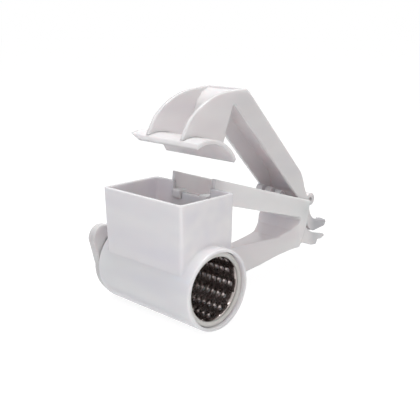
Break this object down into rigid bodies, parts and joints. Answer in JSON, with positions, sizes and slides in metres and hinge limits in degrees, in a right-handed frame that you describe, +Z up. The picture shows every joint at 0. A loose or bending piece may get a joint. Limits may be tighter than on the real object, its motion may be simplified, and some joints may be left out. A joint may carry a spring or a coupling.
{
  "type": "rotary cabbage shredder",
  "caption": "Hand-cranked rotary shredder: square hopper on a barrel, steel grating drum turned by a crank, D handle and hinged press arm with a curved pad.",
  "frame": {"origin": "on the drum axis, in the middle plane of hopper and handle", "axes": "+X along the drum axis, out of the drum's open mouth; +Y from the hopper to the handle's rear end; +Z up"},
  "size_m": [0.1125, 0.1997, 0.159],
  "materials": {
    "white_moulding": "polished",
    "arm_moulding": "polished",
    "drum_plastic": "satin",
    "grey_clip": "satin",
    "stainless_sheet": "brushed",
    "steel_pin": "ground"
  },
  "bodies": {
    "frame": {"hopper_housing": "white_moulding", "handle": "white_moulding", "hinge_pin": "steel_pin", "hinge_clip": "grey_clip"},
    "drum": {"drum_rim": "drum_plastic", "drum_end": "drum_plastic", "drum_sheet": "stainless_sheet", "crank": "white_moulding", "knob_pin": "steel_pin"},
    "knob": {"crank_knob": "white_moulding"},
    "arm": {"press_arm": "arm_moulding", "press_pad": "arm_moulding"}
  },
  "joints": [
    {"name": "drum_spin", "type": "hinge", "parent": "frame", "child": "drum", "pos_m": [0, 0, 0], "axis": [1, 0, 0], "continuous": true},
    {"name": "knob_spin", "type": "hinge", "parent": "drum", "child": "knob", "pos_m": [-0.058, -0.01838, 0.01838], "axis": [1, 0, 0], "continuous": true},
    {"name": "arm_hinge", "type": "hinge", "parent": "frame", "child": "arm", "pos_m": [0, 0.133, 0.025], "axis": [1, 0, 0], "range_deg": [0, 30.6]}
  ]
}
